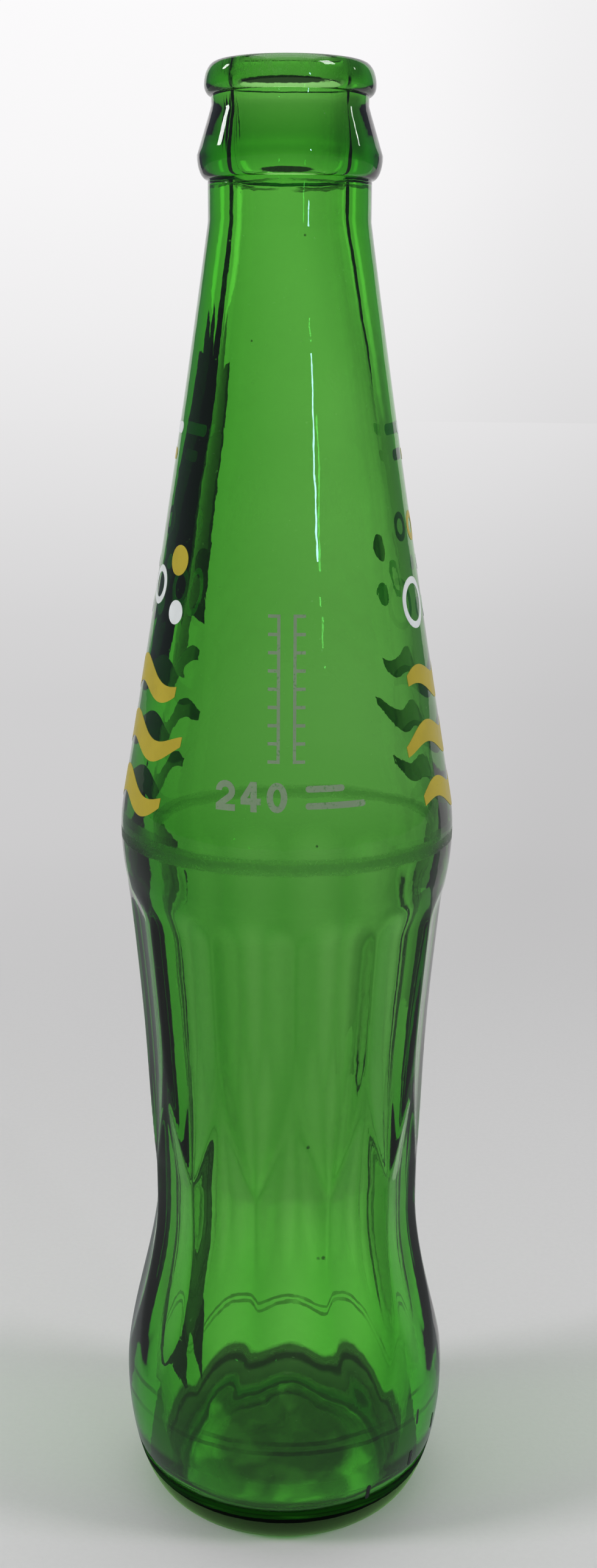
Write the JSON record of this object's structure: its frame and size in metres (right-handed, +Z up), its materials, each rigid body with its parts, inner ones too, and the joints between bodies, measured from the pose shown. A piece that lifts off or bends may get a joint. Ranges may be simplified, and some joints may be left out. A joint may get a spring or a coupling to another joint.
{
  "type": "soda bottle",
  "caption": "Returnable green glass soda bottle with a crown finish, long conical neck, fluted waisted body and fired enamel prints.",
  "frame": {"origin": "centre of the bearing ring on which the bottle stands, at the lowest point of the glass", "axes": "+Z up along the bottle's axis towards the mouth, -Y out of the front with the capacity numerals, +X to the right seen from the front"},
  "size_m": [0.0562, 0.0562, 0.2428],
  "materials": {
    "green_glass": "clear moulded bottle glass, scuffed in a band at the shoulder and the heel",
    "yellow_enamel": "fired opaque enamel, satin",
    "white_enamel": "fired opaque enamel, satin",
    "worn_enamel": "fired pale grey enamel, thin and worn",
    "black_ink": "matte jetted ink"
  },
  "bodies": {
    "root": {"dash_1_left": "white_enamel", "dash_1_right": "white_enamel", "dash_2_left": "yellow_enamel", "dash_2_right": "yellow_enamel", "disc_gold_left": "yellow_enamel", "disc_gold_right": "yellow_enamel", "disc_high_left": "white_enamel", "disc_high_right": "white_enamel", "disc_low_left": "white_enamel", "disc_low_right": "white_enamel", "disc_side_left": "white_enamel", "disc_side_right": "white_enamel", "glass_body": "green_glass", "ink_dash_1": "black_ink", "ink_dash_2": "black_ink", "ink_dash_3": "black_ink", "level_bar_lower": "worn_enamel", "level_bar_upper": "worn_enamel", "numeral_four": "worn_enamel", "numeral_two": "worn_enamel", "numeral_zero": "worn_enamel", "ring_gold_left": "yellow_enamel", "ring_gold_right": "yellow_enamel", "ring_large_left": "white_enamel", "ring_large_right": "white_enamel", "ring_small_left": "white_enamel", "ring_small_right": "white_enamel", "scale_left": "worn_enamel", "scale_right": "worn_enamel", "wave_1_left": "yellow_enamel", "wave_1_right": "yellow_enamel", "wave_2_left": "yellow_enamel", "wave_2_right": "yellow_enamel", "wave_3_left": "yellow_enamel", "wave_3_right": "yellow_enamel"}
  },
  "joints": []
}
